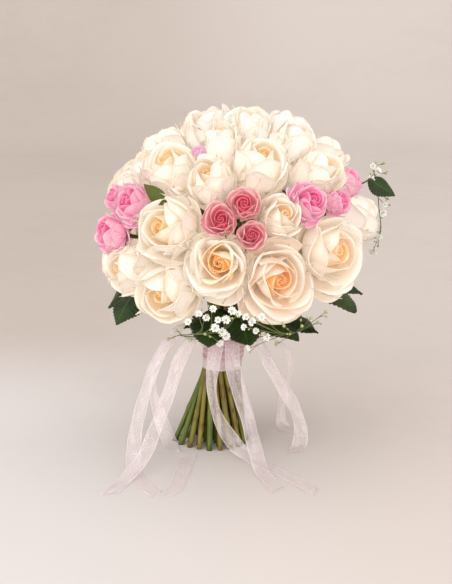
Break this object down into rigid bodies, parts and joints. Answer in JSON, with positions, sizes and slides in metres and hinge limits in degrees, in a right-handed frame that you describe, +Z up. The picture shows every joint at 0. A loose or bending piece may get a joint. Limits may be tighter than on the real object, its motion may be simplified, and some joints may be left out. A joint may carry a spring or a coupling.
{
  "type": "bridal bouquet",
  "caption": "Dome-shaped hand-tied bouquet of cream roses and pink spray roses with leaves, baby's breath, a wound binding and sheer ribbon streamers, standing on its cut stems.",
  "frame": {"origin": "the middle stem's cut end, in the plane of the cut ends that the bouquet stands on", "axes": "+Z up, -Y towards the pictured front, +X to the right of that front, the way the stems lean"},
  "size_m": [0.3027, 0.2975, 0.3451],
  "materials": {
    "petal_cream": "matte rose petals, cream with peach hearts",
    "petal_pink": "matte rose petals, dusty to bright pink",
    "stem_green": "satin green and olive stems",
    "leaf_green": "dark green, slightly glossy rose leaves",
    "floret_white": "matte white florets on green twigs",
    "satin_pink": "wound pink satin and organza",
    "organza_band": "sheer organza edge over the stems",
    "organza_pink": "sheer pale pink organza with bright selvedges"
  },
  "bodies": {
    "root": {"babys_breath_front": "floret_white", "babys_breath_right": "floret_white", "binding_sheer_band": "organza_band", "binding_wrap": "satin_pink", "leaf_spray_back": "leaf_green", "leaf_spray_front": "leaf_green", "leaf_spray_left": "leaf_green", "leaf_spray_right": "leaf_green", "leaf_upper_right": "leaf_green", "ribbon_front_left": "organza_pink", "ribbon_front_right": "organza_pink", "ribbon_left_inner": "organza_pink", "ribbon_left_outer": "organza_pink", "ribbon_left_tail": "organza_pink", "ribbon_right_back": "organza_pink", "ribbon_right_front": "organza_pink", "rose_bud_05": "petal_cream", "rose_bud_06": "petal_cream", "rose_bud_08": "petal_cream", "rose_bud_09": "petal_cream", "rose_bud_11": "petal_cream", "rose_bud_12": "petal_cream", "rose_half_04": "petal_cream", "rose_half_07": "petal_cream", "rose_half_10": "petal_cream", "rose_half_13": "petal_cream", "rose_half_14": "petal_cream", "rose_half_24": "petal_cream", "rose_half_26": "petal_cream", "rose_half_27": "petal_cream", "rose_half_28": "petal_cream", "rose_half_29": "petal_cream", "rose_half_30": "petal_cream", "rose_half_31": "petal_cream", "rose_half_33": "petal_cream", "rose_half_35": "petal_cream", "rose_half_37": "petal_cream", "rose_half_39": "petal_cream", "rose_half_41": "petal_cream", "rose_half_42": "petal_cream", "rose_half_43": "petal_cream", "rose_open_01": "petal_cream", "rose_open_02": "petal_cream", "rose_open_03": "petal_cream", "rose_open_32": "petal_cream", "rose_open_34": "petal_cream", "rose_open_36": "petal_cream", "rose_open_38": "petal_cream", "rose_open_40": "petal_cream", "spray_rose_15": "petal_pink", "spray_rose_16": "petal_pink", "spray_rose_17": "petal_pink", "spray_rose_18": "petal_pink", "spray_rose_19": "petal_pink", "spray_rose_20": "petal_pink", "spray_rose_21": "petal_pink", "spray_rose_22": "petal_pink", "spray_rose_23": "petal_pink", "spray_rose_25": "petal_pink", "stems": "stem_green"}
  },
  "joints": []
}
